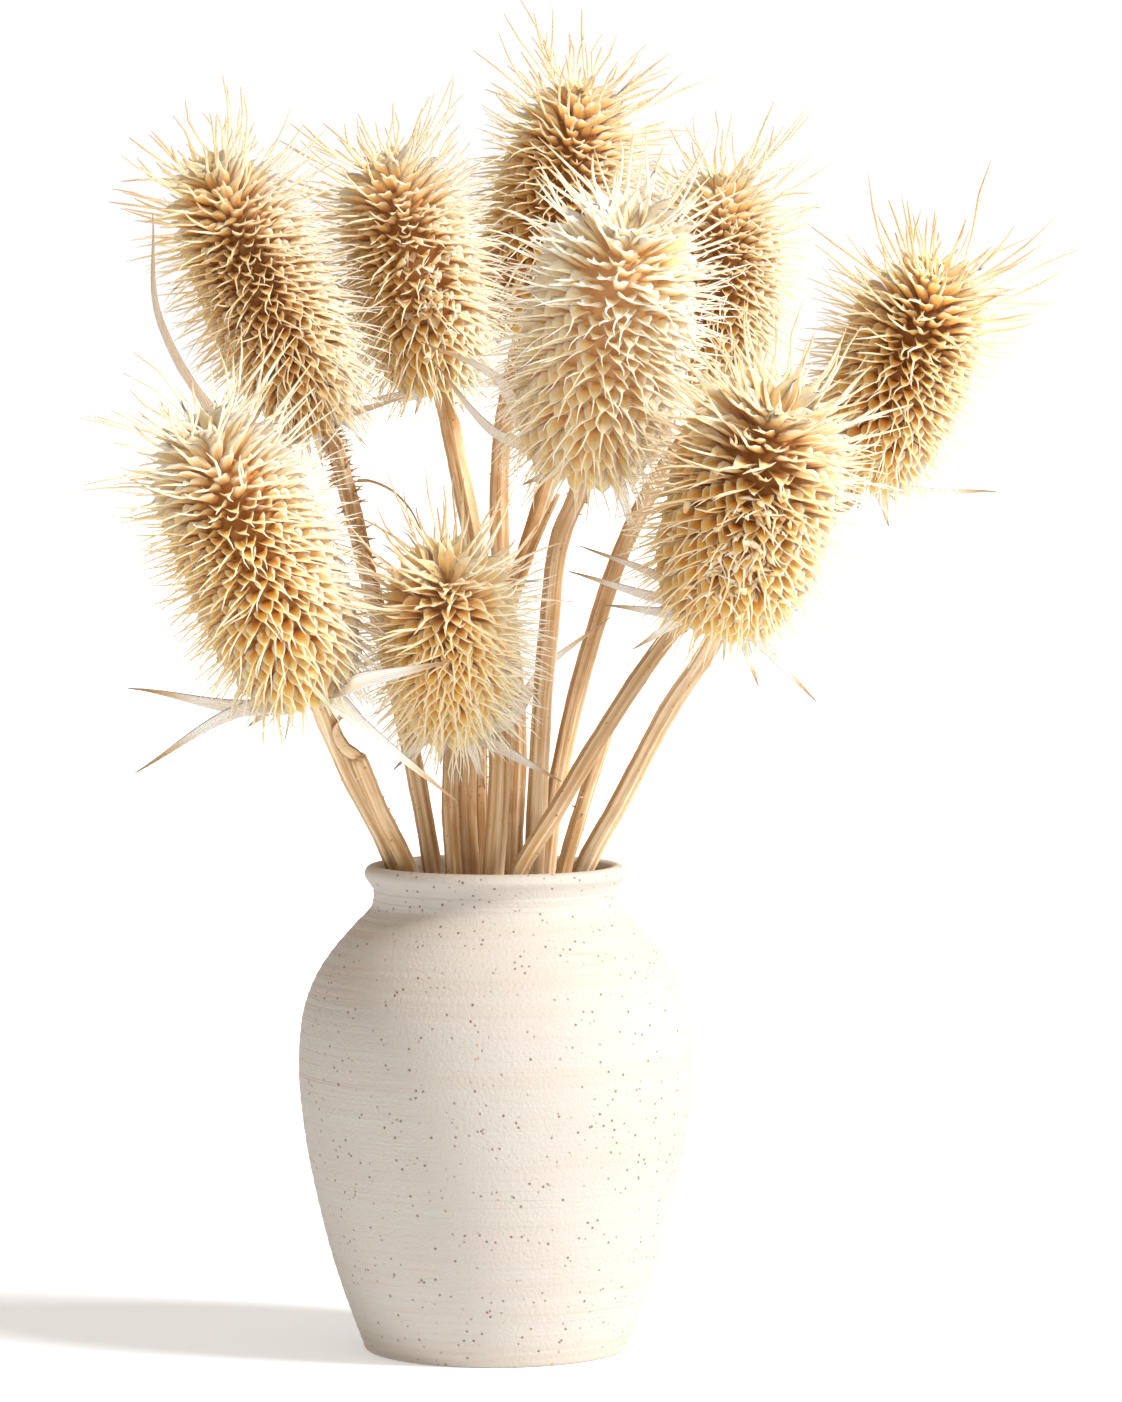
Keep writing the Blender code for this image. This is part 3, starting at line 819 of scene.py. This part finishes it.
def bract_places(length, radius, depth, cell):
    """Turn, share of the height and core radius of each bract, evenly strewn over the rims.

    The bracts follow one spiral by the golden angle, so that their rims form a diamond net.
    """
    outline = []
    for i in range(RIM_STEPS + 1):
        share = SPIRAL_END * (1 - (1 - i / RIM_STEPS) ** 1.5)
        outline.append((core_radius(share, radius), share * length))
    outline.append((0.0, outline[-1][1]))
    rims, area = [], [0.0]
    for (r0, z0), (r1, z1) in zip(outline, outline[1:]):
        tilt = math.atan2(r0 - r1, z1 - z0)
        rims.append((r1, z1, r1 + depth * math.cos(tilt), z1 + depth * math.sin(tilt)))
    for before, after in zip(rims, rims[1:]):
        step = math.hypot(after[2] - before[2], after[3] - before[3])
        looser = 1 + CROWN_LOOSENESS * crown_rise(after[1] / length)
        area.append(area[-1] + math.pi * (before[2] + after[2]) * step / looser ** 2)
    places = []
    k = 0
    for i in range(round(area[-1] / cell ** 2)):
        while area[k] < (i + 0.5) * cell ** 2 and k < len(area) - 1:
            k += 1
        places.append((i * GOLDEN_ANGLE, rims[k][1] / length, rims[k][0]))
    return places


def crown_rise(share):
    """0 on a head's body, growing to 1 at its very top."""
    step = min(1.0, max(0.0, (share - CROWN_START) / (1 - CROWN_START)))
    return step * step * (3 - 2 * step)


def one_bract(rng, sizes, teasel, share, slant):
    """The sizes of one bract: low ones droop, middle ones stand out, the crown's are long.

    Slant is how steeply the square way out rises, which the droop makes up for by half.
    """
    rise = crown_rise(share)
    places, roots, tips = zip(*LIFTS)
    spine = teasel["spine"] * 0.9 * rng.uniform(0.65, 1.4)
    spine += (teasel["crown_spine"] - teasel["spine"]) * rise * rng.uniform(0.1, 1.0) ** 1.5
    if rng.random() < 0.45 * rise:
        spine *= 0.4
    cell = sizes.cell * teasel["radius"] * MM
    width = cell * (1.22 + 0.3 * rise) * rng.uniform(0.9, 1.1)
    steady = 0.5 * slant * (1 - rise)
    return dict(
        boat=sizes.boat * teasel["radius"] * MM * (1 + 0.7 * rise) * rng.uniform(0.9, 1.1),
        spine=spine * MM, width=width, cup=width * rng.uniform(0.4, 0.52) * (1 - 0.35 * rise),
        spine_width=sizes.spine_width * rng.uniform(0.8, 1.15) * (1 + 0.8 * rise),
        lift=math.radians(np.interp(share, places, roots)) - steady + rng.gauss(0, 0.05),
        tip_lift=math.radians(np.interp(share, places, tips)) - steady + rng.gauss(0, 0.28),
        sway=rng.gauss(0, 0.1 + 0.05 * rise), wave=rng.gauss(0, 0.03),
        aged=min(1, rng.uniform(0.15, 0.5) + 0.75 * rise), taper=0.45 * rise,
        tone=min(1, teasel["brown"] * (1 - 0.7 * rise) + rng.uniform(0, 0.5) ** 2),
        pale=min(1, teasel["pale"] * (0.5 + share) + teasel["crown_pale"] * rise),
    )


def wear(teasel, out, share):
    """How broken a head is at one place: 1 amid its worn patch in front, 0 away from it."""
    if not teasel["chaff"]:
        return 0.0
    facing = max(0.0, (out.dot(WORN_SIDE) - WORN_FACING) / (1 - WORN_FACING))
    return facing * math.exp(-((share - WORN_HEIGHT) / WORN_SPREAD) ** 2)


def fragment(rng, root):
    """A torn, papery scrap that lies at any angle among the bracts."""
    out = Vector((rng.gauss(0, 1), rng.gauss(0, 1), rng.gauss(0, 1))).normalized()
    return dict(
        root=root, out=out, up=out.orthogonal().normalized(), boat=rng.uniform(2.2, 4.6) * MM,
        spine=rng.uniform(0.6, 4.5) * MM, width=rng.uniform(1.2, 3.0) * MM,
        cup=rng.uniform(0.2, 0.9) * MM, spine_width=0.5 * MM, aged=0.5, taper=0.0,
        lift=rng.uniform(-0.6, 0.6), tip_lift=rng.uniform(-0.9, 0.9), sway=rng.gauss(0, 0.15),
        wave=0.0, tone=0.0, pale=rng.uniform(0.6, 1.0),
    )


def make_head(number, teasel, sizes, pattern, material):
    """A head: cupped bracts with spines all over a core darkened partly with painted shade, the
    longest in a crown on top.
    """
    rng = random.Random(sizes.seed * 100 + number)
    base = Vector(teasel["base"]) * MM
    axis = axis_of(teasel)
    length = (Vector(teasel["crown"]) - Vector(teasel["base"])).length * MM
    side = axis.orthogonal().normalized()
    radius, spine = teasel["radius"] * MM, teasel["spine"] * MM
    boat = sizes.boat * radius
    core = radius + 1.22 * spine - 0.97 * (boat + 0.8 * spine)
    bracts = []
    for turn, share, off_axis in bract_places(length, core, boat * 0.7, sizes.cell * radius):
        turn += rng.uniform(-0.03, 0.03)
        out = side * math.cos(turn) + axis.cross(side) * math.sin(turn)
        bract = one_bract(rng, sizes, teasel, share, math.asin(out.z))
        bract.update(out=out, up=axis, root=base + axis * share * length + out * off_axis)
        worn = wear(teasel, out, share)
        if rng.random() < 0.55 * worn:
            continue
        if rng.random() < 0.6 * worn:
            bract["boat"] *= rng.uniform(0.5, 0.8)
            bract["spine"] = 0.4 * MM
            bract["pale"] = rng.uniform(0.3, 0.9)
        # Painted light: bracts that face the sun are painted paler.
        facing_light = out.dot(LIT_SIDE)
        bract["pale"] = min(1, bract["pale"] + 0.7 * max(0, facing_light) ** 2)
        bract["tone"] = min(1, bract["tone"] + 0.6 * worn)
        # Painted shade: bracts that face away from the sun are painted darker, by the teasel's
        # shade.
        bract["tone"] = min(1, bract["tone"] + teasel["shade"] * max(0, -facing_light))
        bracts.append(bract)
    front = (WORN_SIDE - axis * WORN_SIDE.dot(axis)).normalized()
    for _ in range(teasel["chaff"]):
        turn = rng.gauss(0, 0.3)
        out = front * math.cos(turn) + axis.cross(front) * math.sin(turn)
        height = axis * min(0.85, max(0.15, rng.gauss(WORN_HEIGHT, 0.16))) * length
        bracts.append(fragment(rng, base + height + out * (core + boat * rng.uniform(0.5, 0.92))))
    points, tints = place_bracts(pattern[0], bracts)
    faces = [
        tuple(index + first for index in face)
        for first in range(0, len(points), len(pattern[0])) for face in pattern[1]
    ]
    spines = object_from(f"teasel_head_{number}", points.tolist(), faces)
    set_point_colour(spines, "bract_tint", tints)
    # The core's dark tone is partly its own brown and partly painted shade in the pits between the
    # bracts.
    tint = (CORE_PLACE, 0.9 - teasel["crown_pale"], teasel["pale"], 0.0)
    head = joined(spines.name, [spines, make_core(base, axis, length, core, tint)])
    hand_over(head, material, f"seed_head_{number}")


def make_core(base, axis, length, radius, tint):
    """The core that the bracts grow from, dark partly in its own colour and partly with painted
    shade.
    """
    deselect()
    bpy.ops.mesh.primitive_uv_sphere_add(segments=32, ring_count=20, radius=1)
    core = bpy.context.object
    for vertex in core.data.vertices:
        share = (vertex.co.z + 1) / 2
        around = Vector((vertex.co.x, vertex.co.y)).normalized()
        if 0.001 < share < 0.999:
            around *= core_radius(share, radius) * CORE_SWELL
        else:
            around *= 0
        vertex.co = (*around, share * length * CORE_END)
    core.data.transform(standing(base, axis))
    set_point_colour(core, "bract_tint", tint)
    return core


# Stalks


def stalk_profile(ridges, depth):
    """A ridged cross section of unit radius, as the curve that a stalk is drawn along."""
    curve = bpy.data.curves.new("stalk_section", "CURVE")
    curve.dimensions = "2D"
    count = ridges * 4
    spline = curve.splines.new("POLY")
    spline.points.add(count - 1)
    for i in range(count):
        turn = math.tau * i / count
        radius = 1 - depth * (1 - math.cos(turn * ridges)) / 2
        spline.points[i].co = (radius * math.cos(turn), radius * math.sin(turn), 0, 1)
    spline.use_cyclic_u = True
    return placed("stalk_section", curve)


def stalk(name, points, diameter, taper, profile, rng, tint):
    """A ridged, slightly knobbly stalk along a route, with its grain and tint written on it."""
    curve = bpy.data.curves.new(name, "CURVE")
    curve.dimensions = "3D"
    curve.bevel_mode = "OBJECT"
    curve.bevel_object = profile
    curve.use_fill_caps = True
    spline = curve.splines.new("POLY")
    spline.points.add(len(points) - 1)
    phase = rng.uniform(0, 9)
    radii = []
    for i, place in enumerate(points):
        knob = 1 + 0.025 * math.sin(i * 0.9 + phase) + 0.02 * math.sin(i * 2.3 + phase)
        radii.append(diameter / 2 * MM * knob * (1 - taper * i / (len(points) - 1)))
        spline.points[i].co = (*(place * MM), 1.0)
        spline.points[i].radius = radii[-1]
    only(placed(name, curve))
    bpy.ops.object.convert(target="MESH")
    made = bpy.context.object
    nearest, off = write_grain(made, points)
    # The crest, 0 in a furrow and 1 on a ridge, places the painted shade and the painted highlight.
    inner = min(point.co.xyz.length for point in profile.data.splines[0].points)
    reach = np.linalg.norm(off, axis=1) / np.array(radii)[nearest]
    crest = np.clip((reach - inner) / (1 - inner), 0, 1)
    set_point_colour(made, "stalk_tint", [(value, *tint, 1.0) for value in crest])
    open_mesh(made)
    close_mesh(merge=0.000005)
    return made


def write_grain(item, points):
    """Writes for each vertex its place across and along a route, so that fibres follow it."""
    route = np.array([tuple(point) for point in points]) * MM
    travelled = np.concatenate([[0], np.cumsum(np.linalg.norm(np.diff(route, axis=0), axis=1))])
    places = np.array([vertex.co for vertex in item.data.vertices])
    nearest = np.argmin(((places[:, None] - route[None]) ** 2).sum(-1), axis=1)
    off = places - route[nearest]
    grain = np.stack([off[:, 0], off[:, 1], travelled[nearest] * FIBRE_STRETCH], axis=-1)
    layer = item.data.attributes.new("grain", "FLOAT_VECTOR", "POINT")
    layer.data.foreach_set("vector", grain.astype(np.float32).ravel())
    return nearest, off


def thorns_on(points, diameter, thorns, share_from, rng, tint):
    """Thorns scattered on a stalk's upper stretch, each a copy of one cone."""
    count, shortest, longest = thorns
    deselect()
    bpy.ops.mesh.primitive_cone_add(vertices=5, radius1=1, radius2=0.08, depth=1)
    pattern = bpy.context.object
    pattern.data.transform(Matrix.Translation((0, 0, 0.5)))
    made = []
    for _ in range(count):
        i = rng.randrange(int(len(points) * share_from), len(points) - 1)
        place = points[i].lerp(points[i + 1], rng.random())
        along = (points[i + 1] - points[i]).normalized()
        around = along.orthogonal().normalized()
        around.rotate(Matrix.Rotation(rng.uniform(0, math.tau), 3, along))
        size = rng.uniform(shortest, longest)
        thick = 0.2 + 0.1 * min(size, 2)
        aim = (around + along * rng.uniform(-0.45, 0.35)).normalized()
        thorn = placed("thorn", pattern.data.copy())
        thorn.data.transform(Matrix.Diagonal((thick, thick, size, 1)))
        thorn.data.transform(Matrix.Scale(MM, 4) @ standing(place + around * diameter * 0.42, aim))
        write_grain(thorn, [place, place + along])
        # A crest of 0.85 gives the thorns part of the stalks' painted highlight.
        set_point_colour(thorn, "stalk_tint", (0.85, *tint, 1.0))
        made.append(thorn)
    bpy.data.objects.remove(pattern)
    return made


def inside_route(mouth):
    """A stalk's foot on the vase's floor and a point on the straight way from it to the mouth."""
    x, y, _ = mouth
    cosine, sine = math.cos(FOOT_TURN), math.sin(FOOT_TURN)
    foot_x = FOOT_DRAW_IN * (x * cosine - y * sine)
    foot_y = FOOT_DRAW_IN * (x * sine + y * cosine)
    foot = Vector((foot_x, foot_y, FOOT_HEIGHT))
    return [foot, foot.lerp(Vector(mouth), STRAIGHT_SHARE)]


def make_stalk(name, node, seed, row, ends, thorns_from, profile, material):
    """A stalk from the vase's floor up through its mouth, with its branch, leaf and thorns."""
    rng = random.Random(seed)
    route = [*inside_route(row["route"][0]), *row["route"], *ends]
    points = smooth_route(route, ROUTE_STEPS)
    tint = (row["amber"], row["grey"])
    parts = [stalk(name, points, row["stem"], STALK_TAPER, profile, rng, tint)]
    if row.get("branch"):
        diameter, taper, steps, places = row["branch"]
        way = smooth_route(places, steps)
        parts.append(stalk("branch", way, diameter, taper, profile, rng, tint))
    if row.get("leaf"):
        leaf = long_bract("leaf", smooth_route(row["leaf"], 6), LEAF_WIDTH, LEAF_SIDE, rng)
        set_point_colour(leaf, "stalk_tint", (0.7, 0.35, 0.1, 1.0))
        parts.append(leaf)
    parts += thorns_on(points, row["stem"], row["thorns"], thorns_from, rng, tint)
    hand_over(joined(name, parts), material, node)


# Involucres


def long_bract(name, route, width, side, rng, face=None, dark=0.0):
    """One long bract: a thin channelled strip, widest at its middle, that narrows to a point.

    Where a way to face is given, its flat side turns that way beyond its root.
    """
    count, ring = len(route), len(BLADE_SECTION)
    points, places = [], []
    phase = rng.uniform(0, 6)
    for i, place in enumerate(route):
        along = (route[min(i + 1, count - 1)] - route[max(i - 1, 0)]).normalized()
        share = i / (count - 1)
        aim = side
        if face:
            turned = along.cross(face).normalized()
            turned = turned if turned.dot(side) > 0 else -turned
            aim = side.lerp(turned, min(1, share * 3.5))
        across = (aim - along * aim.dot(along)).normalized()
        out = along.cross(across)
        twist = 0.35 * math.sin(share * 2.2 + phase) * share
        across, out = (
            across * math.cos(twist) + out * math.sin(twist),
            out * math.cos(twist) - across * math.sin(twist))
        swell = 0.42 + 0.58 * math.sin(min(1, share * 2.6) * math.pi / 2)
        half = width / 2 * swell * (1 - share ** 2) ** 1.1 + BLADE_TIP
        thick = BLADE_THICKNESS * (1 - 0.5 * share)
        wave = 0.25 * math.sin(share * 11 + phase) * (1 - share)
        for u, v in BLADE_SECTION:
            rise = v * thick + BLADE_HOLLOW * half * u * u + wave
            points.append((place + across * half * u + out * rise) * MM)
            places.append((share, u / 2 + 0.5, dark, 1.0))
    faces = [tuple(range(ring))[::-1], tuple(range((count - 1) * ring, count * ring))]
    for i in range(count - 1):
        for k in range(ring):
            a, b = i * ring + k, i * ring + (k + 1) % ring
            faces.append((a, b, b + ring, a + ring))
    made = object_from(name, points, faces)
    write_grain(made, route)
    set_point_colour(made, "blade_place", places)
    return made


def make_collar(middle, axis, diameter):
    """The bell-shaped collar that carries the long bracts."""
    deselect()
    bpy.ops.mesh.primitive_cone_add(
        vertices=28, radius1=(diameter / 2 + 0.4) * MM, radius2=COLLAR_RADIUS * MM,
        depth=COLLAR_LENGTH * MM)
    collar = bpy.context.object
    open_mesh(collar)
    bpy.ops.mesh.bevel(offset=0.6 * MM, segments=2, affect="EDGES")
    close_mesh()
    collar.data.transform(standing(middle * MM, axis))
    write_grain(collar, [middle - axis * 3, middle + axis * 3])
    set_point_colour(collar, "blade_place", (0.05, 0.5, 0.5, 1.0))
    return collar


def make_involucre(number, teasel, material):
    """A head's collar with its long bracts and the short torn ones between them."""
    rng = random.Random(BLADE_SEED + number)
    axis = axis_of(teasel)
    middle = Vector(teasel["base"]) - axis * (GAP + COLLAR_LENGTH / 2)
    parts = [make_collar(middle, axis, teasel["stem"])]
    for places in teasel["bracts"]:
        toward = Vector(places[0]) - middle
        outward = (toward - axis * toward.dot(axis)).normalized()
        root = middle + outward * BLADE_ROOT
        route = smooth_route([root, middle + outward * 7.1 - axis * 0.8, *places], 10)
        dark = 0.75 if number == 1 else rng.uniform(0, 0.12)
        parts.append(long_bract(
            "long", route, teasel["blade"], axis.cross(outward), rng, face=BLADE_FACE, dark=dark))
    start = rng.uniform(0, math.tau)
    for k in range(SHORT_BRACTS):
        turn = start + math.tau * (k + rng.uniform(-0.3, 0.3)) / SHORT_BRACTS
        outward = axis.orthogonal().normalized()
        outward.rotate(Matrix.Rotation(turn, 3, axis))
        tip = middle + outward * rng.uniform(9, 17) - axis * rng.uniform(2, 9)
        root = middle + outward * BLADE_ROOT
        route = smooth_route([root, middle + outward * 7 - axis * 0.6, tip], 6)
        width = rng.uniform(2.2, 3.6)
        parts.append(long_bract("short", route, width, axis.cross(outward), rng))
    whole = joined(f"involucre_bracts_{number}", parts)
    hand_over(whole, material, f"involucre_{number}")


# Operators and panel


class TEASEL_OT_vase(bpy.types.Operator):
    """Spins the stoneware vase and gives it its speckled clay"""

    bl_idname = "teasel.vase"
    bl_label = "Stoneware vase"

    def execute(self, context):
        make_vase(context.scene.teasel_vase)
        return {"FINISHED"}


class TEASEL_OT_heads(bpy.types.Operator):
    """Builds the spiny seed heads"""

    bl_idname = "teasel.heads"
    bl_label = "Seed heads"

    def execute(self, context):
        sizes = context.scene.teasel_head
        pattern = bract_pattern()
        material = bract_finish(sizes)
        for number, teasel in enumerate(TEASELS, 1):
            make_head(number, teasel, sizes, pattern, material)
        return {"FINISHED"}


class TEASEL_OT_stalks(bpy.types.Operator):
    """Builds the ridged stalks, with heads and bare"""

    bl_idname = "teasel.stalks"
    bl_label = "Stalks"

    def execute(self, context):
        sizes = context.scene.teasel_stalk
        profile = stalk_profile(sizes.ridges, sizes.ridge_depth)
        material = stalk_finish(sizes)
        for number, teasel in enumerate(TEASELS, 1):
            base, axis = Vector(teasel["base"]), axis_of(teasel)
            ends = [base - axis * NECK_LENGTH, base - axis * (COLLAR_LENGTH + 2 * GAP)]
            make_stalk(
                f"teasel_stalk_{number}", f"stem_{number}", STALK_SEED + number, teasel, ends,
                THORNS_FROM, profile, material)
        for number, bare in enumerate(BARE_STEMS, 1):
            make_stalk(
                f"bare_stalk_{number}", f"bare_stem_{number}", BARE_SEED + number, bare, [],
                BARE_THORNS_FROM, profile, material)
        bpy.data.objects.remove(profile)
        return {"FINISHED"}


class TEASEL_OT_involucres(bpy.types.Operator):
    """Builds the collars and long bracts under the heads"""

    bl_idname = "teasel.involucres"
    bl_label = "Long bracts"

    def execute(self, context):
        sizes = context.scene.teasel_stalk
        material = paper_finish(sizes)
        for number, teasel in enumerate(TEASELS, 1):
            make_involucre(number, teasel, material)
        return {"FINISHED"}


class TEASEL_OT_stage(bpy.types.Operator):
    """Sets the pale floor, the soft lights and the camera"""

    bl_idname = "teasel.stage"
    bl_label = "Floor, lights and camera"

    def execute(self, context):
        sizes = context.scene.teasel_stage
        deselect()
        bpy.ops.mesh.primitive_plane_add(size=FLOOR_WIDTH)
        floor = bpy.context.object
        floor.name = "floor"
        paint = Finish("pale_floor", 0.6)
        paint.feed(
            paint.shader, ("Base Color", sizes.floor), ("Emission Color", WHITE),
            ("Emission Strength", FLOOR_GLOW))
        floor.data.materials.append(paint.material)
        sun = bpy.data.lights.new("key", "SUN")
        sun.angle = KEY_SPREAD
        sun.energy = sizes.key_strength
        placed("key", sun).rotation_euler = KEY_WAY.to_track_quat("-Z", "Y").to_euler()
        surround(sizes.surround_strength, sizes.surround_tint)
        view = context.scene.view_settings
        view.view_transform = "Standard"
        view.look = "None"
        camera = placed("camera", bpy.data.cameras.new("camera"))
        camera.location = CAMERA_PLACE
        camera.rotation_euler = (CAMERA_AIM - CAMERA_PLACE).to_track_quat("-Z", "Y").to_euler()
        camera.data.sensor_width = SENSOR_WIDTH
        camera.data.lens = CAMERA_LENS
        camera.data.clip_end = 100
        context.scene.camera = camera
        return {"FINISHED"}


def surround(strength, tint):
    """A surround as bright as white paper where it is seen, but softer and warmer as a light."""
    world = bpy.data.worlds.new("surround")
    bpy.context.scene.world = world
    world.use_nodes = True
    nodes, links = world.node_tree.nodes, world.node_tree.links
    soft, paper = nodes["Background"], nodes.new("ShaderNodeBackground")
    for light, power, colour in ((soft, strength, tint), (paper, 1.0, WHITE)):
        light.inputs["Strength"].default_value = power
        light.inputs["Color"].default_value = (*colour, 1.0)
    blend = nodes.new("ShaderNodeMixShader")
    links.new(nodes.new("ShaderNodeLightPath").outputs["Is Camera Ray"], blend.inputs[0])
    links.new(soft.outputs[0], blend.inputs[1])
    links.new(paper.outputs[0], blend.inputs[2])
    links.new(blend.outputs[0], nodes["World Output"].inputs["Surface"])


class TEASEL_PT_panel(bpy.types.Panel):
    """Lists the pieces in the order they are made"""

    bl_idname = "TEASEL_PT_panel"
    bl_label = "Teasels in a vase"
    bl_space_type = "VIEW_3D"
    bl_region_type = "UI"
    bl_category = "Teasels"

    def draw(self, context):
        for operator in OPERATORS:
            self.layout.operator(operator.bl_idname)


OPERATORS = (
    TEASEL_OT_stage, TEASEL_OT_vase, TEASEL_OT_stalks, TEASEL_OT_involucres, TEASEL_OT_heads,
)
GROUPS = (
    ("teasel_vase", VaseSizes), ("teasel_head", HeadSizes), ("teasel_stalk", StalkSizes),
    ("teasel_stage", StageSizes),
)


def register():
    for name, group in GROUPS:
        bpy.utils.register_class(group)
        setattr(bpy.types.Scene, name, PointerProperty(type=group))
    for kind in (*OPERATORS, TEASEL_PT_panel):
        bpy.utils.register_class(kind)


def unregister():
    for kind in (TEASEL_PT_panel, *reversed(OPERATORS)):
        bpy.utils.unregister_class(kind)
    for name, group in reversed(GROUPS):
        delattr(bpy.types.Scene, name)
        bpy.utils.unregister_class(group)


def main():
    register()
    bpy.ops.teasel.stage()
    bpy.ops.teasel.vase()
    bpy.ops.teasel.stalks()
    bpy.ops.teasel.involucres()
    bpy.ops.teasel.heads()
    deselect()


if __name__ == "__main__":
    main()
